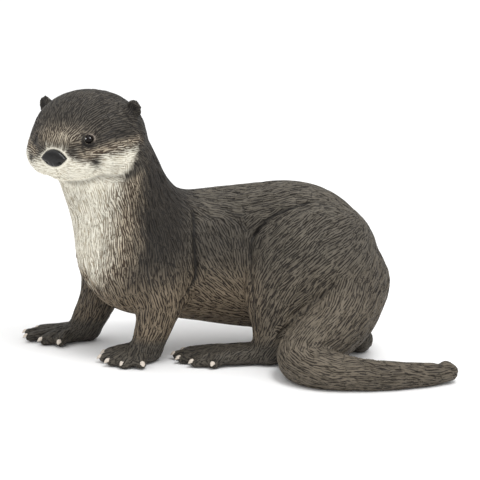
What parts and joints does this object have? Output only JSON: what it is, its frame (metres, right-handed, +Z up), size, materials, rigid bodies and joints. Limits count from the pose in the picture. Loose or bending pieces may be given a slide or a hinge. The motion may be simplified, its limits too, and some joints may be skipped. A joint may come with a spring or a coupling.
{
  "type": "toy otter figurine",
  "caption": "Moulded vinyl figure of a river otter standing on all fours, head turned to its left, tail curled round along the ground.",
  "frame": {"origin": "middle of the base of the figure's bounding box, on the plane of its soles", "axes": "+X from the chest towards the rump and tail tip, +Y towards the otter's right side, +Z up"},
  "size_m": [0.2048, 0.096, 0.1264],
  "materials": {
    "painted_coat": "soft vinyl with carved fur, painted dark brown with a cream throat and a brown wash",
    "eye_black": "gloss black paint",
    "nose_black": "satin charcoal paint",
    "claw_pale": "pale pink-white paint"
  },
  "bodies": {
    "root": {"head": "painted_coat", "neck": "painted_coat", "trunk": "painted_coat", "ear_left": "painted_coat", "ear_right": "painted_coat", "tail_root": "painted_coat", "tail_bend": "painted_coat", "tail_middle": "painted_coat", "tail_tip": "painted_coat", "fore_left_leg": "painted_coat", "fore_left_foot": "painted_coat", "fore_right_leg": "painted_coat", "fore_right_foot": "painted_coat", "hind_left_leg": "painted_coat", "hind_left_foot": "painted_coat", "hind_right_leg": "painted_coat", "hind_right_foot": "painted_coat", "eye_left": "eye_black", "eye_right": "eye_black", "nose": "nose_black", "fore_left_claw_1": "claw_pale", "fore_left_claw_2": "claw_pale", "fore_left_claw_3": "claw_pale", "fore_left_claw_4": "claw_pale", "fore_left_claw_5": "claw_pale", "fore_right_claw_1": "claw_pale", "fore_right_claw_2": "claw_pale", "fore_right_claw_3": "claw_pale", "fore_right_claw_4": "claw_pale", "fore_right_claw_5": "claw_pale", "hind_left_claw_1": "claw_pale", "hind_left_claw_2": "claw_pale", "hind_left_claw_3": "claw_pale", "hind_left_claw_4": "claw_pale", "hind_left_claw_5": "claw_pale", "hind_right_claw_1": "claw_pale", "hind_right_claw_2": "claw_pale", "hind_right_claw_3": "claw_pale", "hind_right_claw_4": "claw_pale", "hind_right_claw_5": "claw_pale"}
  },
  "joints": []
}
